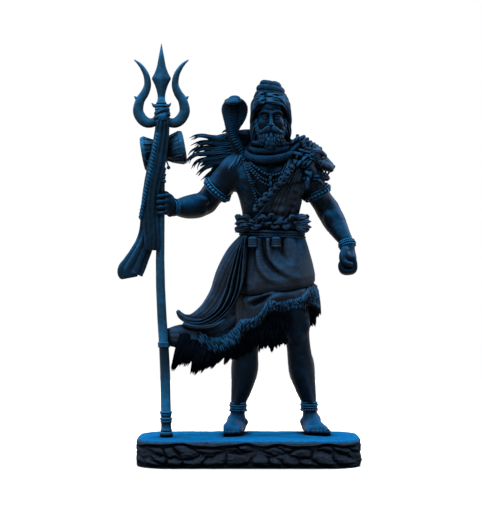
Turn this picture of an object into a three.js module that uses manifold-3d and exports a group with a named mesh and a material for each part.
// A cast figurine of Shiva with a trident, standing on a base of carved rock.
// Millimetres, +Z up. The front faces -Y, and the origin is the middle of the base's underside.
// Three pieces: the rock base, the figure cast in one with his dress and ornaments, and the trident
// with its drum and scarf, which the right hand holds and the base carries.
import * as THREE from "three";
import { mergeVertices } from "three/addons/utils/BufferGeometryUtils.js";
import Module from "manifold-3d";

// Driving sizes.
const BASE_LENGTH = 212;
const BASE_DEPTH = 100;
const BASE_HEIGHT = 26;
const BASE_CORNER = 0.3 * BASE_DEPTH; // radius of the outline's four corners
const BOULDERS = 27; // round the base
const ROCK_RELIEF = 4.6; // how deep the cracks are cut into the base's side
const FIGURE_HEIGHT = 336; // soles to the top of the topknot
const STAFF_RADIUS = 3.6; // at the hand
const STAFF_FOOT_RADIUS = 4.9;
const FIT_GAP = 0.3; // between two pieces that touch
const FIGURE_TRIANGLES = 6250; // before the cuts around the trident
const TRIDENT_TRIANGLES = 2100;
const SHORT_EDGE_WEIGHT = 0.02; // how much an edge's length counts against collapsing it

// The figure and the trident are drawn 336 units tall, with z from the soles, and scaled to size.
const scale = FIGURE_HEIGHT / 336;

const FULL_TURN = 2 * Math.PI;
const BACK = new THREE.Vector3(0, 1, 0);
const UP = new THREE.Vector3(0, 0, 1);

const wasm = await Module();
wasm.setup();

// Small helpers.
const mix = THREE.MathUtils.lerp;
const steps = (count) => Array.from({ length: count }, (_, i) => i);
const at = (x, y, z) => new THREE.Vector3(x * scale, y * scale, BASE_HEIGHT + z * scale);
const rad = THREE.MathUtils.degToRad;

// The value of a table at a height. Each row starts with its height, and the heights rise.
function row(table, height) {
  const next = table.findIndex((r) => r[0] >= height);
  if (next === 0) return table[0];
  if (next < 0) return table.at(-1);
  const [low, high] = [table[next - 1], table[next]];
  const share = (height - low[0]) / (high[0] - low[0]);
  return low.map((value, i) => mix(value, high[i], share));
}

// Closed solids.

// A closed geometry as a solid that faces out.
function solid(geometry) {
  const bare = geometry.index ? geometry.clone() : geometry;
  bare.deleteAttribute("normal");
  bare.deleteAttribute("uv");
  const merged = mergeVertices(bare, 1e-4);
  const position = merged.attributes.position;
  const corners = [];
  let volume = 0;
  const point = (i) => new THREE.Vector3().fromBufferAttribute(position, i);
  for (let i = 0; i < merged.index.count; i += 3) {
    const [a, b, c] = [0, 1, 2].map((n) => merged.index.getX(i + n));
    if (a === b || b === c || c === a) continue;
    volume += point(a).dot(point(b).cross(point(c)));
    corners.push([a, b, c]);
  }
  if (volume < 0) corners.forEach((corner) => corner.reverse());
  const mesh = { numProp: 3, vertProperties: position.array, triVerts: new Uint32Array(corners.flat()) };
  return new wasm.Manifold(new wasm.Mesh(mesh));
}

const join = (solids) => solids.reduce((all, next) => all.add(next));

// The faces between rings of points. Open ends get a fan to the points `first` and `last`.
function skin(rings, first, last) {
  const count = rings[0].length;
  const closed = !first;
  const points = closed ? rings.flat() : [...rings.flat(), first, last];
  const index = [];
  for (const r of steps(closed ? rings.length : rings.length - 1)) {
    const next = (r + 1) % rings.length;
    for (const i of steps(count)) {
      const j = (i + 1) % count;
      const [a, b, c, d] = [r * count + i, r * count + j, next * count + j, next * count + i];
      index.push(a, b, c, a, c, d);
    }
  }
  if (!closed) {
    const top = (rings.length - 1) * count;
    for (const i of steps(count)) {
      const j = (i + 1) % count;
      index.push(rings.length * count, j, i, rings.length * count + 1, top + i, top + j);
    }
  }
  const geometry = new THREE.BufferGeometry().setFromPoints(points);
  geometry.setIndex(index);
  return solid(geometry);
}

// A ring of points round `middle`, perpendicular to `along`. `across` is its half-width away from
// the `flat` direction, and `deep` its half-width towards it.
function section(middle, along, across, deep, { sides, flat, twist = 0, ripple = 0, ripples = 4 }) {
  const aside = new THREE.Vector3().crossVectors(along, flat).normalize();
  const ahead = new THREE.Vector3().crossVectors(aside, along).normalize();
  return steps(sides).map((i) => {
    const angle = (i / sides) * FULL_TURN;
    const out = 1 + ripple * Math.cos(ripples * angle);
    const [u, v] = [across * out * Math.cos(angle), deep * out * Math.sin(angle)];
    const [c, s] = [Math.cos(twist), Math.sin(twist)];
    return middle.clone().addScaledVector(aside, u * c - v * s).addScaledVector(ahead, u * s + v * c);
  });
}

// A closed tube through stations [x, y, z, across, deep]. `turns` twists it along its length,
// `blunt` is how far each end bulges as a share of its half-depth, and `grow` thickens it all over.
function tube(stations, options = {}) {
  const { sides = 8, parts = 2 * stations.length, flat = BACK, turns = 0, blunt = 0.5, grow = 0 } = options;
  const spine = new THREE.CatmullRomCurve3(stations.map(([x, y, z]) => at(x, y, z)));
  const widths = stations.map((s) => new THREE.Vector3(s[3], s[4] ?? s[3], 0).multiplyScalar(scale));
  const size = new THREE.CatmullRomCurve3(widths);
  const rings = steps(parts + 1).map((i) => {
    const t = i / parts;
    const { x, y } = size.getPoint(t);
    const shape = { ...options, sides, flat, twist: turns * t * FULL_TURN };
    return section(spine.getPoint(t), spine.getTangent(t), x + grow, y + grow, shape);
  });
  const bulge = (t, sign) =>
    spine.getPoint(t).addScaledVector(spine.getTangent(t), sign * (blunt * size.getPoint(t).y + grow));
  return skin(rings, bulge(0, -1), bulge(1, 1));
}

// A closed ring that follows place(angle), with half-widths from size(angle).
function hoop(place, size, { sides = 6, parts = 16, turns = 0, ...shape } = {}) {
  const rings = steps(parts).map((i) => {
    const angle = (i / parts) * FULL_TURN;
    const middle = at(...place(angle));
    const along = at(...place(angle + 0.01)).sub(middle).normalize();
    const [across, deep] = size(angle).map((value) => value * scale);
    return section(middle, along, across, deep, { sides, flat: UP, twist: turns * angle, ...shape });
  });
  return skin(rings);
}

// An ellipsoid with half-widths across, deep and high, leaned sideways by `lean` and turned by `turn`.
function ball(x, y, z, across, deep, high, { lean = 0, turn = 0, sides = 8 } = {}) {
  const geometry = new THREE.SphereGeometry(scale, sides, Math.ceil(sides * 0.7)).rotateX(Math.PI / 2);
  geometry.scale(across, deep, high).rotateY(lean).rotateZ(turn);
  return solid(geometry.translate(...at(x, y, z).toArray()));
}

// A ring worn round a limb: its middle, the limb's direction, its radius and its thickness.
function cuff([x, y, z], direction, radius, thickness, parts = 12) {
  const geometry = new THREE.TorusGeometry(radius * scale, thickness * scale, 5, parts);
  const turn = new THREE.Quaternion().setFromUnitVectors(UP, new THREE.Vector3(...direction).normalize());
  return solid(geometry.applyQuaternion(turn).translate(...at(x, y, z).toArray()));
}

// Thinning the surface of a joined solid.

// A plane's weight in the misfit below: the ten different entries of the 4 x 4 matrix of its squared
// distance.
const squared = ({ normal: { x, y, z }, constant: d }, weight) =>
  [x * x, x * y, x * z, x * d, y * y, y * z, y * d, z * z, z * d, d * d].map((value) => value * weight);

// The sum of the squared distances from a point to the planes that went into q.
const misfit = (q, { x, y, z }) =>
  q[0] * x * x + q[4] * y * y + q[7] * z * z + q[9] +
  2 * (q[1] * x * y + q[2] * x * z + q[3] * x + q[5] * y * z + q[6] * y + q[8] * z);

// The largest shell of a solid's mesh, without sealed hollows and loose crumbs.
function outerShell({ vertProperties, triVerts }) {
  const parent = steps(vertProperties.length / 3);
  const root = (i) => {
    while (parent[i] !== i) i = parent[i] = parent[parent[i]];
    return i;
  };
  const faces = steps(triVerts.length / 3).map((i) => [...triVerts.subarray(3 * i, 3 * i + 3)]);
  for (const [a, b, c] of faces) {
    parent[root(a)] = root(b);
    parent[root(b)] = root(c);
  }
  const points = steps(parent.length).map((i) => new THREE.Vector3().fromArray(vertProperties, 3 * i));
  const volumes = new Map();
  for (const [a, b, c] of faces) {
    const part = points[a].dot(new THREE.Vector3().crossVectors(points[b], points[c]));
    volumes.set(root(a), (volumes.get(root(a)) ?? 0) + part);
  }
  const [largest] = [...volumes].reduce((best, next) => (next[1] > best[1] ? next : best));
  return { points, faces: faces.filter(([a]) => root(a) === largest) };
}

// A mesh of points and faces back as a solid, with only the points that its faces use.
function resolid({ points, faces }) {
  const used = [...new Set(faces.flat())];
  const number = new Map(used.map((i, n) => [i, n]));
  const vertProperties = new Float32Array(used.flatMap((i) => points[i].toArray()));
  const triVerts = new Uint32Array(faces.flat().map((i) => number.get(i)));
  return new wasm.Manifold(new wasm.Mesh({ numProp: 3, vertProperties, triVerts }));
}

// A solid with about `target` triangles: the edges that shape it least are collapsed, a share of
// them in each round. An edge stays where its collapse would turn a face over or pinch the surface.
function thinned(made, target) {
  const { points, faces } = outerShell(made.getMesh());
  const facesAt = points.map(() => new Set());
  const planesAt = points.map(() => new Array(10).fill(0));
  const normalOf = ([a, b, c]) =>
    points[b].clone().sub(points[a]).cross(points[c].clone().sub(points[a]));
  faces.forEach((face, i) => {
    const normal = normalOf(face);
    const area = normal.length();
    const plane = new THREE.Plane().setFromNormalAndCoplanarPoint(normal.normalize(), points[face[0]]);
    const terms = squared(plane, area);
    for (const corner of face) {
      facesAt[corner].add(i);
      terms.forEach((value, n) => (planesAt[corner][n] += value));
    }
  });
  const neighbours = (a) => new Set([...facesAt[a]].flatMap((i) => faces[i]));
  const bestPlace = (a, b) => {
    const q = planesAt[a].map((value, n) => value + planesAt[b][n]);
    const middle = points[a].clone().add(points[b]).multiplyScalar(0.5);
    const rank = (place) => misfit(q, place) + SHORT_EDGE_WEIGHT * points[a].distanceToSquared(points[b]);
    const places = [middle, points[a], points[b]].map((place) => ({ place, cost: rank(place) }));
    return places.reduce((best, next) => (next.cost < best.cost ? next : best));
  };
  const keepsForm = (a, b, place) => {
    const near = neighbours(b);
    const shared = [...neighbours(a)].filter((corner) => near.has(corner) && corner !== a && corner !== b);
    if (shared.length !== 2) return false;
    return [a, b].every((moved) => [...facesAt[moved]].every((i) => {
      if (faces[i].includes(a) && faces[i].includes(b)) return true;
      const before = normalOf(faces[i]);
      const [p, r, s] = faces[i].map((corner) => (corner === moved ? place : points[corner]));
      const after = r.clone().sub(p).cross(s.clone().sub(p));
      return after.dot(before) > 0.25 * after.length() * before.length() && after.length() > 1e-3;
    }));
  };
  let left = faces.length;
  let before = left + 1;
  while (left > target && left < before) {
    before = left;
    const edges = [...facesAt.keys()].flatMap((a) =>
      [...neighbours(a)].filter((b) => b > a).map((b) => ({ a, b, ...bestPlace(a, b) })));
    edges.sort((p, q) => p.cost - q.cost);
    const touched = new Set();
    for (const { a, b, place } of edges.slice(0, edges.length / 5)) {
      if (left <= target) break;
      if (touched.has(a) || touched.has(b) || !keepsForm(a, b, place)) continue;
      neighbours(a).forEach((corner) => touched.add(corner));
      neighbours(b).forEach((corner) => touched.add(corner));
      points[a] = place.clone();
      planesAt[b].forEach((value, n) => (planesAt[a][n] += value));
      for (const i of [...facesAt[b]]) {
        if (faces[i].includes(a)) {
          faces[i].forEach((corner) => facesAt[corner].delete(i));
          faces[i] = null;
          left -= 1;
        } else {
          faces[i] = faces[i].map((corner) => (corner === b ? a : corner));
          facesAt[a].add(i);
        }
      }
      facesAt[b].clear();
    }
  }
  return resolid({ points, faces: faces.filter(Boolean) });
}

// The rock base.

// A number from 0 to 1 that is always the same for the same cell.
function chance(cell, level) {
  const wave = Math.sin(cell * 127.1 + level * 311.7) * 43758.5453;
  return wave - Math.floor(wave);
}

// How far in the rock is cut at a place round the base, 0 to 1, at a height from 0 to 1.
function rockCut(around, height) {
  const slant = around * BOULDERS + 0.4 * Math.sin(5 * FULL_TURN * around) + 0.9 * height;
  const cell = Math.floor(slant);
  const inside = slant - cell;
  const edge = Math.min(inside, 1 - inside) * 2;
  const crack = (1 - edge) ** 2;
  const split = 0.3 + 0.4 * chance(cell % BOULDERS, 1);
  const ledge = height > split ? chance(cell % BOULDERS, 2) : chance(cell % BOULDERS, 3);
  return 0.6 * crack + 0.4 * ledge;
}

// A point of the base's rounded oblong outline, with its direction out. `around` runs from 0 to 1.
function baseOutline(around) {
  const [flatX, flatY] = [BASE_LENGTH / 2 - BASE_CORNER, BASE_DEPTH / 2 - BASE_CORNER];
  const arc = (BASE_CORNER * FULL_TURN) / 4;
  const quarter = arc + flatX + flatY;
  const run = (around % 0.25) * 4 * quarter;
  const turned = THREE.MathUtils.clamp((run - flatY) / arc, 0, 1) * (FULL_TURN / 4);
  const out = new THREE.Vector3(Math.cos(turned), Math.sin(turned), 0);
  const corner = new THREE.Vector3(flatX, flatY, 0).addScaledVector(out, BASE_CORNER);
  if (run < flatY) corner.y -= flatY - run;
  if (run > flatY + arc) corner.x -= run - flatY - arc;
  const side = Math.floor(around * 4);
  const mirrored = side % 2 === 1;
  if (mirrored) {
    const back = baseOutline((1 - (around % 0.25) * 4) * 0.25 - 1e-9);
    corner.copy(back.point);
    out.copy(back.out);
  }
  const flipX = side === 1 || side === 2 ? -1 : 1;
  const flipY = side >= 2 ? -1 : 1;
  const flip = new THREE.Vector3(flipX, flipY, 1);
  return { point: corner.multiply(flip), out: out.multiply(flip) };
}

function rockBase() {
  // Height and inset of each ring, as shares of the base's height and of its relief.
  const profile = [[0, 0.4], [0.14, 0.1], [0.4, 0], [0.66, 0], [0.88, 0.05], [1, 0.6]];
  const around = 3 * BOULDERS;
  const rings = profile.map(([height, inset]) =>
    steps(around).map((i) => {
      const { point, out } = baseOutline(i / around);
      const relief = height === 1 ? 0.3 : height === 0 ? 0.5 : 1;
      const cut = inset + relief * rockCut(i / around, height);
      point.addScaledVector(out, -ROCK_RELIEF * cut);
      return point.setZ(height * BASE_HEIGHT);
    }),
  );
  return skin(rings, new THREE.Vector3(0, 0, 0), new THREE.Vector3(0, 0, BASE_HEIGHT));
}

// The trident. `grow` thickens all of it, for the room that the figure leaves around it.

// Where the staff runs: from its foot on the base, past the grip, to the head.
const STAFF = [[0, -77, -12], [60, -78.1, -12], [86, -79.2, -12], [110, -80.7, -12], [140, -82, -12],
  [165, -82.6, -12], [217, -82, -12], [312, -81.6, -12]];
const staffAt = (z) => row(STAFF, z).slice(1);

// The staff's turned profile: height and how far it stands out of the plain taper.
const STAFF_PROFILE = [[FIT_GAP / scale, 1.3], [4, 1.3], [8, 0], [14, 0.2], [16, 0.9], [18, 0.1],
  [22, 0.9], [24, 0], [60, 0], [83.5, 0], [86, 1], [88.5, 0], [130, 0], [175, 0], [217, 0], [236.5, 0],
  [239, 1.2], [241.7, 0.1], [244.5, 1.2], [247.2, 0.1], [250, 1.2], [252.5, 0], [312, 0]];

function staff(grow) {
  const taper = (z) => mix(STAFF_FOOT_RADIUS, STAFF_RADIUS, Math.min(1, z / 217)) / scale + grow / scale;
  const rings = STAFF_PROFILE.map(([z, out], i) => {
    const drop = i === 0 ? grow : 0;
    const radius = (taper(z) + out) * scale;
    return section(at(...staffAt(z), z - drop), UP, radius, radius, { sides: 8, flat: BACK });
  });
  return skin(rings, rings[0][0].clone().lerp(rings[0][4], 0.5), at(...staffAt(312), 312));
}

function prongs(grow) {
  const middle = STAFF.at(-1)[1];
  const depth = STAFF.at(-1)[2];
  const thick = 2.6;
  // Distance out from the middle, height and half-width of a side prong, from its tip to the socket.
  const prong = [[25.2, 352.4, 0.7], [18, 345.4, 2.4], [14.1, 338.2, 3.2], [13, 329.4, 3.8],
    [15.5, 321.8, 4.4], [20.2, 314.6, 4.9], [22, 305.2, 5.6], [19.6, 298.6, 5.8], [15.2, 294.4, 5.6],
    [9.8, 293.4, 5], [3, 296.6, 4.4]];
  const side = (sign) => [
    tube(prong.map(([out, z, wide]) => [middle + sign * out, depth, z, wide, Math.min(thick, wide)]),
      { sides: 5, parts: 14, grow }),
    tube([[middle + sign * 21, depth, 316, 3.4, 2], [middle + sign * 25.8, depth, 318.4, 1, 0.9]],
      { sides: 4, parts: 1, grow }),
  ];
  const blade = tube(
    [[316, 3.4, 2.6], [323.5, 4.3, 3], [330, 6.4, 3.4], [334.8, 8.4, 3.6], [339, 6.3, 3.2], [346, 4, 2.6],
      [355.4, 2.3, 1.9], [367.9, 0.4, 0.4]].map(([z, wide, deep]) => [middle, depth, z, wide, deep]),
    { sides: 4, parts: 9, grow },
  );
  const collar = tube([[middle - 8.6, depth, 311.5, 0.9, 1.4], [middle - 5, depth, 309.6, 2, 3.4],
    [middle, depth, 308.8, 2.8, 4.4], [middle + 5, depth, 309.6, 2, 3.4],
      [middle + 8.6, depth, 311.5, 0.9, 1.4]],
  { sides: 5, parts: 6, grow });
  const socket = tube([[middle, depth, 290, 5.6, 5], [middle, depth, 299, 7.4, 5.6],
    [middle, depth, 306, 6.2, 5], [middle, depth, 318, 3.3, 3.2]], { sides: 7, parts: 3, grow });
  return join([...side(-1).flat(), ...side(1).flat(), blade, collar, socket]);
}

// The hourglass drum that hangs on the staff, on a line from its left head to its right head.
function drum(grow) {
  const [left, right] = [[-99.9, 265.6], [-62.5, 274.8]];
  const profile = [[0, 15.6], [0.05, 16.6], [0.1, 15.4], [0.3, 11], [0.5, 8], [0.7, 11], [0.9, 15.4],
    [0.95, 16.6], [1, 15.6]];
  const stations = profile.map(([t, radius]) => [mix(left[0], right[0], t), -1, mix(left[1], right[1], t),
    radius]);
  return tube(stations, { sides: 12, parts: 8, blunt: 0, grow });
}

// The scarf: a front end that hangs straight, a back end that blows out, and a cord on its edge.
function scarf(grow) {
  const folds = { ripple: 0.13, ripples: 5, blunt: 0, grow };
  const front = tube([[-80.5, -14, 297, 5.6, 6.4], [-80.9, -15, 287, 6.3, 5.4], [-82.5, -16.5, 273, 7, 4.6],
    [-86, -17, 255, 7.6, 4.4], [-90.6, -16.5, 235, 7.2, 4.2], [-92.6, -16, 214, 7.7, 4],
      [-91, -16, 196, 7, 4], [-90.2, -16, 175.4, 6.9, 4.2]], { sides: 12, parts: 8, ...folds });
  const back = tube([[-91, -10, 232, 6, 3.4], [-93.4, -10, 210, 7.4, 3.8], [-94.2, -10, 194, 7.6, 4.2],
    [-98.2, -10, 180, 8.6, 5], [-104.6, -10, 168, 10.4, 6],
    [-110.4, -10, 159, 12, 6.8], [-114.2, -10, 153.6, 12.6, 7]],
  { sides: 12, parts: 6, ...folds });
  const knot = hoop((angle) => [-80.8 + 5.6 * Math.cos(angle), -12 + 6.2 * Math.sin(angle),
    300 + 1.5 * Math.cos(angle)],
    () => [2.2 + grow, 3 + grow], { sides: 5, parts: 8 });
  const cord = tube([[-86.2, -18.5, 280], [-88, -20, 268], [-90.8, -20, 252], [-94.8, -19.5, 236],
    [-98.2, -18.5, 222], [-101, -17.5, 207]].map((point) => [...point, 3, 2]),
    { sides: 4, parts: 20, turns: 4, grow });
  return join([front, back, knot, cord]);
}

const tridentSolid = (grow) => join([staff(grow), prongs(grow), drum(grow), scarf(grow)]);

// The figure's body.

// Height, middle x, middle y, half-width and half-depth of the trunk, from the hips to the neck.
const TRUNK = [[150, 24, 14, 31, 24], [184, 23, 13, 30, 22], [200, 21, 12.5, 26.8, 19],
  [211, 20.4, 12, 26.4, 18.5], [222, 20.8, 12, 29.4, 20.5], [234, 21.5, 12, 34.5, 23],
  [246, 21, 12, 37, 23.5], [255, 21, 12, 33, 20], [262, 21, 11, 24, 16], [269, 21, 9, 14.5, 13],
  [280, 21, 6, 12, 11.5], [292, 21, 4, 11.5, 11]];
const TRUNK_SQUARENESS = 0.86;

// A point on the trunk at x and z, moved `proud` out of it, on the front or on the back.
function onTrunk(x, z, proud = 0, back = false) {
  const [, middle, centre, wide, deep] = row(TRUNK, z);
  const cos = Math.min(0.98, Math.abs(x - middle) / wide) ** (1 / TRUNK_SQUARENESS);
  const out = deep * Math.sqrt(1 - cos * cos) ** TRUNK_SQUARENESS + proud;
  return [x, centre + (back ? out : -out), z];
}

function trunk() {
  const soft = (value) => Math.sign(value) * Math.abs(value) ** TRUNK_SQUARENESS;
  const rings = TRUNK.map(([z, x, y, wide, deep]) =>
    steps(18).map((i) => {
      const angle = (i / 18) * FULL_TURN;
      return at(x + wide * soft(Math.cos(angle)), y + deep * soft(Math.sin(angle)), z);
    }));
  const chest = [5.5, 36.5].map((x) => ball(x, -4.4, 245, 17.5, 9, 12.5, { sides: 10 }));
  return join([skin(rings, at(24, 14, 149), at(21, 4, 293)), ...chest]);
}

function arms() {
  const right = tube([[-2, 12, 257, 13, 13], [-12, 13, 250, 16, 16], [-28.5, 19, 234.6, 13.6, 13.4],
    [-41, 24, 219.6, 12, 12]],
    { parts: 6 });
  const rightFore = tube([[-39, 25, 218.6, 11, 11], [-48.5, 18, 216.8, 13.2, 12], [-58, 8, 215.6, 10.8, 10.5],
    [-67, -2, 214.8, 8.2, 7.6], [-74, -8, 215.2, 6.8, 7]], { parts: 8 });
  const left = tube([[46, 12, 257, 13, 13], [56, 12.5, 249, 15, 16], [64.2, 17, 231, 12, 12.4],
    [75.8, 24, 214, 12, 12]],
    { parts: 6 });
  const leftFore = tube([[75.6, 24.5, 214, 11.6, 11], [81.4, 20, 203, 12.2, 11.6], [88.4, 11, 190, 9, 9],
    [93, 5, 181.5, 6.8, 7], [94, 1.5, 175, 6.8, 7]], { parts: 8 });
  return join([right, rightFore, left, leftFore]);
}

// The right hand: a palm beside the staff, four fingers round its front, and the thumb behind it.
function grippingHand() {
  const [x, y] = staffAt(217);
  const finger = 2.6;
  const reach = STAFF_RADIUS / scale + finger + 0.2;
  const around = (z, from, to, thick) =>
    tube(steps(5).map((i) => {
      const angle = rad(mix(from, to, i / 4));
      return [x + reach * Math.cos(angle), y + reach * Math.sin(angle), z - 0.6 * i, thick];
    }), { sides: 6, parts: 5, flat: UP });
  const fingers = steps(4).map((i) => around(225.5 - 5 * i, 30, -122, finger));
  const thumb = around(224, 20, 150, 2.8);
  const palm = ball(x + 8.2, y + 2.5, 216.5, 5.2, 7, 11.5, { sides: 10, turn: -0.5 });
  return join([...fingers, thumb, palm]);
}

function closedFist() {
  const palm = ball(94.2, -0.5, 165.5, 7.4, 8.8, 11.5, { sides: 10 });
  const fingers = steps(4).map((i) => {
    const y = -7 + 4.6 * i;
    return tube([[98, y, 169, 2.8], [99.2, y, 161.4, 2.9], [97.6, y, 156, 2.9],
      [92.4, y - 0.5, 154.8, 2.9], [88, y - 0.5, 158.4, 2.8], [87.8, y, 164.6, 2.4]],
      { sides: 6, parts: 7 });
  });
  const thumb = tube([[90.8, -6, 175, 3], [88.2, -9.5, 167.6, 3.2], [92.4, -10.8, 161.4, 2.7]],
    { sides: 6, parts: 4 });
  return join([palm, ...fingers, thumb]);
}

// A leg from the hip to the ankle, and a foot from its heel to its toes.
function leg(stations, heel, toes, inner) {
  const shank = tube(stations, { sides: 10, parts: 14 });
  const way = (t, side, z) => {
    const [dx, dy] = [toes[0] - heel[0], toes[1] - heel[1]];
    const length = Math.hypot(dx, dy);
    return [mix(heel[0], toes[0], t) - (dy / length) * side,
      mix(heel[1], toes[1], t) + (dx / length) * side, z];
  };
  const foot = tube([[...way(0.02, 0, 5), 6, 5.5], [...way(0.22, 0, 8.5), 7.5, 9],
    [...way(0.45, 0, 6.5), 8.2, 7.5], [...way(0.68, 0, 4), 9.8, 5], [...way(0.82, 0, 2.5), 10.2, 3.6]],
    { sides: 10, parts: 7, flat: UP });
  const nails = steps(5).map((i) => {
    const side = inner * (8 - 4.3 * i);
    const long = 0.92 - 0.035 * i;
    const thick = i === 0 ? 3.1 : 2.3;
    return tube([[...way(long - 0.16, side, 3), thick, 2.8], [...way(long + 0.05, side * 1.06, 2), thick,
      2.3]],
      { sides: 6, parts: 2, flat: UP });
  });
  return join([shank, foot, ...nails]);
}

function legs() {
  const right = leg([[8, 14, 150, 17], [2, 12, 118, 16.5], [-2.5, 11.6, 84, 12.6, 13],
    [-3.5, 16.4, 62, 13.1, 14], [-6.5, 18.6, 44, 10.4, 11], [-9.8, 20, 28, 7.2, 8],
    [-10.3, 20.6, 9, 8, 8.5]], [-9, 32, 0], [-18.8, -13.4, 0], -1);
  const left = leg([[37, 14, 150, 17], [42.4, 14, 124, 16.5], [47, 16, 90, 11.8, 12.8],
    [50.8, 22.3, 61, 12.8, 14], [55, 26, 43, 10.2, 11], [58.4, 27.5, 28, 7.1, 8], [59.6, 28, 9, 7.6, 8.5]],
    [58, 39, 0], [67.4, -5.4, 0], 1);
  return join([right, left]);
}

// Rings worn on the arms and the ankles.
function ornaments() {
  const anklets = [[-9.8, 20, 26], [58.4, 27.5, 26]].map(([x, y, z]) =>
    join([cuff([x, y, z + 2.4], [0, 0, 1], 7.9, 1.4), cuff([x, y, z - 1.8], [0, 0, 1], 8, 1.9)]));
  const armlets = [cuff([-28, 18, 234.4], [-0.66, 0.26, -0.7], 13.8, 1.8),
    cuff([-31.2, 18.8, 230.8], [-0.66, 0.26, -0.7], 13.2, 1.5),
    cuff([63.8, 16.6, 232.2], [0.45, 0.2, -0.87], 12.6, 1.8),
    cuff([66, 17.4, 228], [0.45, 0.2, -0.87], 12.2, 1.5)];
  const bangles = [cuff([-66.5, -1.5, 214.8], [-0.7, -0.7, 0], 8.2, 1.2),
    cuff([-70.6, -5.4, 215], [-0.7, -0.7, 0], 7.8, 1.2),
    cuff([92.6, 5.4, 182], [0.24, -0.42, -0.88], 7.2, 1.3),
    cuff([93.7, 3, 178], [0.24, -0.42, -0.88], 7.2, 1.3)];
  return join([...anklets, ...armlets, ...bangles]);
}

// Head, hair and snake.

function head() {
  const face = ball(21, 0, 296, 13.4, 15.5, 19, { sides: 12 });
  const jaw = ball(21.3, -4, 286, 11.4, 10.5, 11, { sides: 10 });
  const nose = tube([[21, -14, 303, 1.3], [21.1, -16.6, 298.5, 1.6], [21.1, -17.4, 295, 2.6]],
    { sides: 6, parts: 3 });
  const brows = [-1, 1].map((s) =>
    tube([[21 + 2 * s, -14.8, 302.6, 1.3], [21 + 6.5 * s, -14, 304, 1.4],
      [21 + 10.5 * s, -10.5, 302, 1.1]], { sides: 5, parts: 3 }));
  const cheeks = [-1, 1].map((s) => ball(21 + 7.6 * s, -9.6, 295.4, 4.4, 4, 4));
  const moustache = [-1, 1].map((s) =>
    tube([[21, -15.8, 291.4, 1.6], [21 + 5 * s, -15, 290, 2], [21 + 10 * s, -11.4, 286.4, 0.8]],
      { sides: 6, parts: 4 }));
  const beard = steps(7).map((i) => {
    const side = (i - 3) / 3;
    return tube([[21 + 10.5 * side, -9.5 + 4.5 * side * side, 288 + 5 * side * side, 3],
      [21.6 + 8.6 * side, -12 + 4 * side * side, 281, 3.6], [23 + 4.5 * side, -10, 274 + 3 * side * side,
        1.4]], { sides: 6, parts: 4 });
  });
  return join([face, jaw, nose, ...brows, ...cheeks, ...moustache, ...beard]);
}

// Locks of hair are tubes through points, each with a half-width and a half-depth, ending thin.
const lock = (points, wide, deep, options = {}) =>
  tube(points.map((point, i) => {
    const taper = Math.min(1, 1.35 * (1 - i / (points.length - 1)) + 0.16);
    return [...point, wide * taper, deep * taper];
  }), { sides: 6, parts: 6, ...options });

function hair() {
  const cap = ball(21.4, 7, 301.5, 16.6, 17.5, 19.5, { sides: 12 });
  const swept = [-1, 1].flatMap((s) => steps(4).map((i) =>
    lock([[21 + s * (1 + 1.5 * i), -11.5 + 2 * i, 313.5 + 1.3 * i],
      [21 + s * (9.5 + 1.2 * i), -9 + 3.4 * i, 309.5 + 1.8 * i],
      [21 + s * (15 + 0.3 * i), -1 + 3.5 * i, 300 + 1.2 * i], [21 + s * 16, 5 + 3 * i, 287]], 3.2, 3)));
  const falling = [-1, 1].flatMap((s) => steps(2).map((i) =>
    lock([[21 + s * 12.5, 4 + 8 * i, 300], [21 + s * 13.6, 6 + 8 * i, 288],
      [21 + s * (14 - 2 * i), 8 + 10 * i, 276], [21 + s * (26 - 6 * i), 10 + 15 * i, 264 - 12 * i]], 5.6,
      5.5)));
  const behind = steps(5).map((i) => {
    const side = (i - 2) / 2;
    return lock([[21 + 9 * side, 19 - 3 * side * side, 304], [21 + 13 * side, 25, 286],
      [21 + 15 * side, 33, 266], [20 + 13 * side, 38, 248], [20 + 9 * side, 38, 232 + 6 * side * side]],
      6, 5);
  });
  // Tips of the locks that the wind blows aside, each with the top of its arch.
  const blown = [[[-60.6, 22, 275], [-47, 24, 281.6], [-27, 24, 279.4]],
    [[-60, 23, 268.6], [-47, 25, 275.5], [-27, 25, 273.4]],
    [[-60.4, 22, 263.4], [-48, 24, 269], [-28, 24, 267.6]], [[-58.4, 22, 251.6], [-51.4, 24, 262.5],
    [-29, 24, 262]], [[-51.6, 22, 246.8], [-46.4, 24, 255.8], [-27, 24, 257]],
    [[-46.8, 23, 242.8], [-40.4, 25, 249.4], [-23, 24, 251]],
    [[-25.4, 14, 287.4], [-18, 15, 284.6], [-8, 16, 283]]];
  const windLocks = blown.map(([tip, arch, root], i) => {
    const stray = i === blown.length - 1;
    return lock([[8, 19, 286 - 3 * i], root, arch, tip], stray ? 3.4 : 6.6, stray ? 3 : 5.4);
  });
  const knotTurns = [[318, 14.8, 4.4], [324.6, 13.8, 4.3], [330.4, 11.2, 4.1]].map(([z, radius, thick], i) =>
    hoop((a) => [20.9 + (radius - thick) * Math.cos(a), 8 + (radius - thick) * Math.sin(a),
      z + (1.3 - 0.2 * i) * Math.cos(a + i)],
      () => [thick, thick], { sides: 6, parts: 12, turns: 2, ripple: 0.08, ripples: 3 }));
  const knotCore = ball(20.9, 8, 325, 10.5, 10.5, 10.8, { sides: 10 });
  return join([cap, ...swept, ...falling, ...behind, ...windLocks, ...knotTurns, knotCore]);
}

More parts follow.
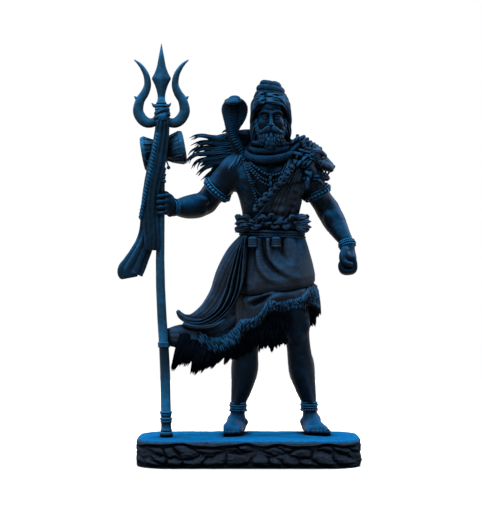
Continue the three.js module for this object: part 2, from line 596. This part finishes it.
// The cobra that rears over the right shoulder, and its body wound round the neck.
function snake() {
  const hood = tube([[-3.6, 6, 262, 4.6, 4.4], [-11, 4, 273.5, 4.5, 4.2], [-14.2, 3, 283, 4.5, 4.2],
    [-14.8, 3.2, 290, 6.2, 4], [-14, 3.8, 296.4, 9, 3.8], [-13.3, 4, 302, 11, 3.8],
    [-13.1, 4, 307.4, 11.8, 3.8], [-13.2, 3, 313.2, 10.4, 4.4], [-13.3, 2, 317.4, 6.2, 4.4]],
  { sides: 10, parts: 13 });
  const snout = ball(-14, -3.5, 314.4, 6.4, 10, 4.4, { sides: 8 });
  const coil = hoop((a) => [21.5 + 24 * Math.cos(a), 7 + 22 * Math.sin(a),
    270.5 + 11 * Math.sin(a) + 2.5 * Math.cos(a)],
    () => [3.6, 3.6], { sides: 6, parts: 20 });
  const loop = ball(47.8, 3, 278.4, 7, 6.4, 6.6, { sides: 8 });
  return join([hood, snout, coil, loop]);
}

// Necklaces and the garland of skulls.

function beadString(points, radius, count) {
  const path = new THREE.CatmullRomCurve3(points.map(([x, z, proud]) => at(...onTrunk(x, z, proud))));
  return join(path.getSpacedPoints(count - 1).map((place) =>
    solid(new THREE.IcosahedronGeometry(radius * scale, 0).translate(...place.toArray()))));
}

function necklaces() {
  const short = beadString([[0, 262, 1], [6, 252, 1.5], [15, 247.4, 3], [22, 246.2, 3], [32, 249, 2],
    [40, 256, 1]], 2, 13);
  const middle = beadString([[-3, 262, 0.5], [2.2, 253, 1], [10, 244.3, 2.4], [19, 238.6, 2],
    [28, 236, 1]], 2.2, 12);
  const long = beadString([[-5.4, 263, 1], [0.2, 251, 1.4], [4.2, 242.3, 2.8], [6.9, 233, 1.4],
    [8.8, 224, 0.6], [8.4, 218, 0.6]], 2.3, 14);
  const skulls = [[47, 262], [42.6, 255.5], [36.9, 249.6], [32.7, 243.4], [27.4, 237], [20.9, 231.4],
    [15.2, 225.4], [8.6, 218.4]];
  const garland = skulls.flatMap(([x, z]) => {
    const [, y] = onTrunk(x, z, 3.4);
    return [ball(x, y, z + 0.6, 3.9, 3.9, 3.7, { sides: 6 }), ball(x + 0.6, y - 0.6, z - 3, 2.2, 2.4, 2.4,
      { sides: 5 })];
  });
  return join([short, middle, long, ...garland]);
}

// The animal skin: pleats over the chest and the back, and its head on the left shoulder.

function skinDrape() {
  const pleat = (top, foot, proud, back) =>
    tube(steps(4).map((i) => {
      const t = i / 3;
      return [...onTrunk(mix(top[0], foot[0], t) + 3 * Math.sin(Math.PI * t), mix(top[1], foot[1], t),
        proud, back), 4, 3.2];
    }), { sides: 6, parts: 4 });
  const front = steps(7).map((i) => pleat([38 + 2.1 * i, 259 - 1.2 * i], [9 + 5.3 * i, 203], 1 + (i % 2),
    false));
  const rear = steps(6).map((i) => pleat([34 + 3 * i, 260 - 1.4 * i], [2 + 7.4 * i, 203], 1 + (i % 2), true));
  const edge = tube([[...onTrunk(39, 258, 2.5), 2.6], [...onTrunk(30, 238, 3), 2.4],
    [...onTrunk(18, 220, 3), 2.4], [...onTrunk(6, 206, 3), 2.8]], { sides: 6, parts: 6 });
  const shoulder = ball(50, 12, 262, 13, 17, 9, { lean: 0.45, sides: 10 });
  return join([...front, ...rear, edge, shoulder]);
}

function animalHead() {
  const skull = ball(61, 1, 264.8, 12.2, 13, 11.4, { lean: 0.4, sides: 10 });
  const muzzle = tube([[62, 0, 261, 8.6, 9], [71, -1.5, 257, 7.4, 7.4], [78.6, -3, 252.8, 5.8, 5.6]],
    { sides: 8, parts: 5 });
  const nose = ball(80.4, -3.4, 254.4, 2.6, 3.4, 2.6, { sides: 6 });
  const jaw = tube([[60, 0, 250.6, 7.4, 7], [69.6, -1.5, 246.4, 6.4, 5.4], [76.2, -2.6, 243.6, 4, 3.6]],
    { sides: 6, parts: 4 });
  const ears = [-9, 9].map((y) => ball(55, y, 275, 3.2, 3.6, 4.6, { lean: -0.5, sides: 6 }));
  const brow = [-6, 4].map((y) => ball(67.6, y, 264.4, 4.4, 3.8, 3, { lean: 0.5, sides: 6 }));
  const mane = steps(9).map((i) => {
    const angle = rad(-150 + 26 * i);
    const [dy, dz] = [Math.cos(angle), Math.sin(angle)];
    return tube([[59, 11 * dy, 261 + 10 * dz, 4], [52, 3 + 15 * dy, 257 + 12 * dz, 3.6],
      [47, 5 + 17 * dy, 251 + 12 * dz, 0.8]],
      { sides: 5, parts: 3 });
  });
  const teeth = [-5.5, 2].map((y) => tube([[71.6, y, 252, 1.4], [72.2, y, 247, 0.5]],
    { sides: 5, parts: 1 }));
  return join([skull, muzzle, nose, jaw, ...ears, ...brow, ...mane, ...teeth]);
}

// The waist: a twisted sash with its ends, a cord belt and two bells.

function sash() {
  const waist = (wide, deep, z) => (a) => [22.5 + wide * Math.cos(a), 12.5 + deep * Math.sin(a),
    z + 1.5 * Math.sin(3 * a)];
  const twist = hoop(waist(28, 21, 200), (a) => [5.6 + 0.9 * Math.sin(5 * a), 7.4 + 1.2 * Math.cos(4 * a)],
    { sides: 8, parts: 30, turns: 2.5, ripple: 0.1, ripples: 3 });
  const belts = [190.5, 186].map((z) => hoop(waist(31, 24.5, z), () => [2.6, 2.4], { sides: 5, parts: 18 }));
  const ends = [[[2, -5, 202, 5, 5], [-4, -6, 202, 4.4, 4.6], [-10.4, -5, 205, 2.6, 2.6]],
    [[0, -4, 196.5, 4.4, 4.4], [-6, -5, 195.6, 3.6, 3.4], [-12.6, -4, 193, 1.6, 1.6]],
    [[44, -5, 202, 5.4, 5.4], [51, -5, 203.6, 5.4, 5.6], [55.6, -3, 201.6, 4.2, 4.2]],
    [[46, -4, 196.5, 4.6, 4.6], [53, -4, 195.8, 3.6, 3.6]],
    [[20, -11, 199, 5, 5], [14, -13, 208, 3.4, 3], [7, -11, 214, 1.6, 1.6]]].map((s) => tube(s,
      { sides: 6, parts: 4 }));
  const bells = [3.7, 26.6].flatMap((x) => {
    const y = x < 10 ? -12.5 : -14.5;
    return [tube([[x, y, 188, 1.6], [x, y, 186, 3.4], [x, y, 182.4, 4.4], [x, y, 178.6, 5],
      [x, y, 176.8, 5]], { sides: 8, parts: 5, blunt: 0 }),
      ball(x, y, 176.4, 2.2, 2.2, 2.2, { sides: 6 })];
  });
  return join([twist, ...belts, ...ends, ...bells]);
}

// The skirt.

const SKIRT_AXIS = [23, 14];
const SKIRT_TOP = 189;
const SKIRT_ROUND = 0.84; // the skirt's depth as a share of its width
// Angle in degrees from the right, going to the back, with the hem's height and its reach out.
const HEM = [[0, 120, 43], [45, 103, 40], [90, 85, 38], [135, 84, 43], [180, 88, 45], [225, 98, 42],
  [270, 117, 37.5], [315, 123, 40.5], [360, 120, 43]];
// The hem of the overskirt, the same way.
const OVER_HEM = [[0, 144, 38], [90, 138, 36], [180, 134, 40], [235, 133, 39], [270, 138, 36],
  [315, 141, 38], [360, 144, 38]];
// How far out the overskirt stands on its way down: share of the way, and share of the reach.
const OVER_SWELL = [[0, 0], [0.25, 0.42], [0.58, 0.9], [0.8, 1.15], [0.93, 1.16], [1, 1]];

// A point of a skirt: its angle, its share of the way down to the hem, and how far it stands out.
function onSkirt(degrees, share, proud = 0, { table = HEM, swell = share ** 0.5, folds = 9,
  deep = 2.2 } = {}) {
  const turned = ((degrees % 360) + 360) % 360;
  const [, hem, reach] = row(table, turned);
  const angle = rad(turned);
  const out = deep * share * Math.cos(rad(turned * folds + 120 * share)) + proud;
  const wide = mix(29.5, reach, swell) + out;
  const ahead = mix(23, SKIRT_ROUND * reach, swell) + out;
  return [SKIRT_AXIS[0] + wide * Math.cos(angle), SKIRT_AXIS[1] + ahead * Math.sin(angle),
    mix(SKIRT_TOP, hem, share)];
}

const onOverskirt = (degrees, share, proud = 0) =>
  onSkirt(degrees, share, proud, { table: OVER_HEM, swell: row(OVER_SWELL, share)[1], folds: 7, deep: 1.1 });

// A closed shell of cloth from the belt to its hem, hollow underneath.
function cloth(place, shares, around, thick, top) {
  const ring = (share, proud) => steps(around).map((i) => at(...place((i * 360) / around, share, proud)));
  const rings = [...shares.map((share) => ring(share, 0)), ring(1, -thick), ring(0.8, -2 * thick)];
  return skin(rings, at(...SKIRT_AXIS, SKIRT_TOP), at(...SKIRT_AXIS, top));
}

function skirt() {
  const under = cloth(onSkirt, [0, 0.3, 0.5, 0.7, 0.88, 1], 36, 4.5, 135);
  const over = cloth(onOverskirt, [0, 0.14, 0.3, 0.5, 0.68, 0.84, 0.95, 1], 28, 3, 150);
  // Folds that hang from the belt and sweep across the front: angle and share at the top and at the foot.
  const swags = [[258, 0.06, 318, 0.78], [268, 0.02, 336, 0.58], [249, 0.08, 300, 0.9], [280, 0.02, 352, 0.4],
    [240, 0.1, 276, 0.96]].map(([from, high, to, low]) =>
    tube(steps(6).map((i) => {
      const t = i / 5;
      const drop = high + (low - high) * Math.sin((t * Math.PI) / 2);
      return [...onOverskirt(mix(from, to, t ** 1.9), drop, 0.7), 2 + 1.9 * Math.sin(Math.PI * t), 2.4];
    }), { sides: 6, parts: 8 }));
  return join([under, over, ...swags]);
}

// Locks of fur along a hem: cones that point away from the cloth.
function furRow(places, length, radius) {
  return places.map(([x, y, z], i) => {
    const long = length * (0.55 + 0.9 * chance(i, 5));
    const lean = 6 * (chance(i, 4) - 0.5);
    return tube([[x, y, z + 5, radius * 0.9, radius * 0.8], [x, y, z, radius, radius * 0.8],
      [x + lean, y, z - long, 0.6]],
      { sides: 5, parts: 3 });
  });
}

function skirtFur() {
  const hem = steps(30).map((i) => onSkirt(i * 12 + 4, 1, -2));
  const band = hoop((a) => onSkirt((a * 360) / FULL_TURN, 0.97, 0.4), () => [2.4, 5],
    { sides: 6, parts: 36 });
  return join([band, ...furRow(hem, 9, 4)]);
}

// The cloth that blows out to the right hand's side: an upper layer of long folds with a rolled
// hem, and a lower layer that reaches the staff.
function blownCloth() {
  const lower = tube([[12, 14, 138, 30, 20], [-12, 13, 111, 31, 17], [-35, 10, 92, 23, 12],
    [-51, 5, 85, 18.5, 9.5], [-60, 0, 88.5, 14, 7.5], [-68, -5, 93, 8.6, 5.6],
    [-74.6, -9.5, 95.4, 5, 3.6]], { sides: 12, parts: 11, ripple: 0.06, ripples: 5 });
  const upper = tube([[-50, -2, 98, 9, 7], [-62, -5, 100.4, 8, 5], [-71, -8, 99.5, 4, 3.6],
    [-76, -10, 99.6, 2.4, 2.6]],
    { sides: 8, parts: 5 });
  const folds = steps(7).map((i) => {
    const t = i / 6;
    return tube([[mix(-4, 8, t), mix(4, -9, t), 187, 3.6, 4], [mix(-15, 4, t), mix(4, -10, t), 172, 4.8, 5],
      [mix(-24.6, 0, t), mix(4, -13, t), 153, 5.4, 6], [mix(-32, -6, t), mix(3, -13, t), 136, 5.2, 6.5],
      [mix(-40, -14, t), mix(2, -11, t), 121 - 3 * t, 5, 6], [mix(-52, -24, t), mix(0, -8, t), 110 - t,
        4.4, 5]],
    { sides: 6, parts: 8 });
  });
  const roll = tube([[-64.6, -4, 114.8, 2.6, 3], [-59, -5, 109.6, 3.4, 4], [-48, -8, 105.4, 3.8, 5],
    [-34, -12, 105.4, 4, 5], [-20, -15, 109, 4, 5], [-8, -17, 117, 3.4, 4], [0, -18, 127, 2.2, 3]],
    { sides: 8, parts: 12 });
  const edge = steps(12).map((i) => [-70 + 5 * i, -6 + 1.3 * i,
    68 - 0.5 * Math.sin(i / 2) + 0.45 * Math.max(0, i - 4) ** 1.55]);
  return join([lower, upper, ...folds, roll, ...furRow(edge, 9, 4.8)]);
}

// The whole figure, cut flat on the base and cleared around the trident.
function figure() {
  const cast = join([trunk(), arms(), grippingHand(), closedFist(), legs(), ornaments(), head(), hair(),
    snake(),
    necklaces(), skinDrape(), animalHead(), sash(), skirt(), skirtFur(), blownCloth()]);
  const body = thinned(cast, FIGURE_TRIANGLES);
  const under = new THREE.BoxGeometry(4 * FIGURE_HEIGHT, 4 * FIGURE_HEIGHT, FIGURE_HEIGHT);
  under.translate(0, 0, BASE_HEIGHT + FIT_GAP - FIGURE_HEIGHT / 2);
  const cut = body.subtract(solid(under)).subtract(tridentSolid(FIT_GAP));
  return resolid(outerShell(cut.getMesh()));
}

// Meshes.

function mesh(name, made, material) {
  const { vertProperties, triVerts } = made.getMesh();
  const geometry = new THREE.BufferGeometry();
  geometry.setAttribute("position", new THREE.BufferAttribute(vertProperties, 3));
  geometry.setIndex(new THREE.BufferAttribute(triVerts, 1));
  geometry.computeVertexNormals();
  const result = new THREE.Mesh(geometry, material);
  result.name = name;
  return result;
}

const rockMaterial = new THREE.MeshStandardMaterial({ color: 0x0b2f57, roughness: 0.7, metalness: 0.1 });
const figureMaterial = new THREE.MeshStandardMaterial({ color: 0x14233a, roughness: 0.5, metalness: 0.2 });
const tridentMaterial = new THREE.MeshStandardMaterial({ color: 0x15304d, roughness: 0.45, metalness: 0.25 });

const figurine = new THREE.Group();
figurine.add(
  mesh("rock_base", rockBase(), rockMaterial),
  mesh("shiva_figure", figure(), figureMaterial),
  mesh("trident", thinned(tridentSolid(0), TRIDENT_TRIANGLES), tridentMaterial),
);

export default figurine;
